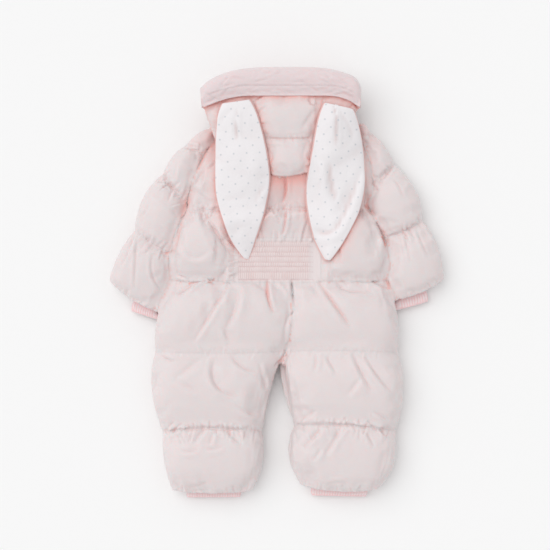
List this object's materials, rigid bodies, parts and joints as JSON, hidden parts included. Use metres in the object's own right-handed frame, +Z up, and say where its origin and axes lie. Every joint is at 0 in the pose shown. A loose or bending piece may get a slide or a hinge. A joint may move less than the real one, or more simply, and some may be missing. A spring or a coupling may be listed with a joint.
{
  "type": "baby snowsuit",
  "caption": "Padded baby snowsuit laid face down: quilted body and sleeves, gathered back waist, ribbed cuffs, and a hood with long soft ears lying on the back.",
  "frame": {"origin": "centre of the bounding box, on the surface that the garment lies on", "axes": "+Y towards the head, +X to the right seen from above (the wearer's right), +Z up, out of the back"},
  "size_m": [0.504, 0.6441, 0.0777],
  "materials": {
    "pale_pink_shell": "satin woven nylon over padding",
    "white_cotton": "matte woven cotton with small grey dots",
    "pink_rib_knit": "matte rib knit",
    "pink_zip_tape": "matte woven tape with a moulded coil"
  },
  "bodies": {
    "root": {"back_bodice": "pale_pink_shell", "back_leg_left": "pale_pink_shell", "back_leg_right": "pale_pink_shell", "front_left": "pale_pink_shell", "front_right": "pale_pink_shell", "sleeve_left_back": "pale_pink_shell", "sleeve_left_front": "pale_pink_shell", "sleeve_right_back": "pale_pink_shell", "sleeve_right_front": "pale_pink_shell", "waist_elastic": "pale_pink_shell", "hood_crown": "pale_pink_shell", "hood_side_left": "pale_pink_shell", "hood_side_right": "pale_pink_shell", "hood_brim": "pale_pink_shell", "hood_fold": "pale_pink_shell", "ear_left_shell": "pale_pink_shell", "ear_right_shell": "pale_pink_shell", "ear_left_face": "white_cotton", "ear_right_face": "white_cotton", "wrist_cuff_left": "pink_rib_knit", "wrist_cuff_right": "pink_rib_knit", "ankle_cuff_left": "pink_rib_knit", "ankle_cuff_right": "pink_rib_knit", "front_zip": "pink_zip_tape"}
  },
  "joints": []
}
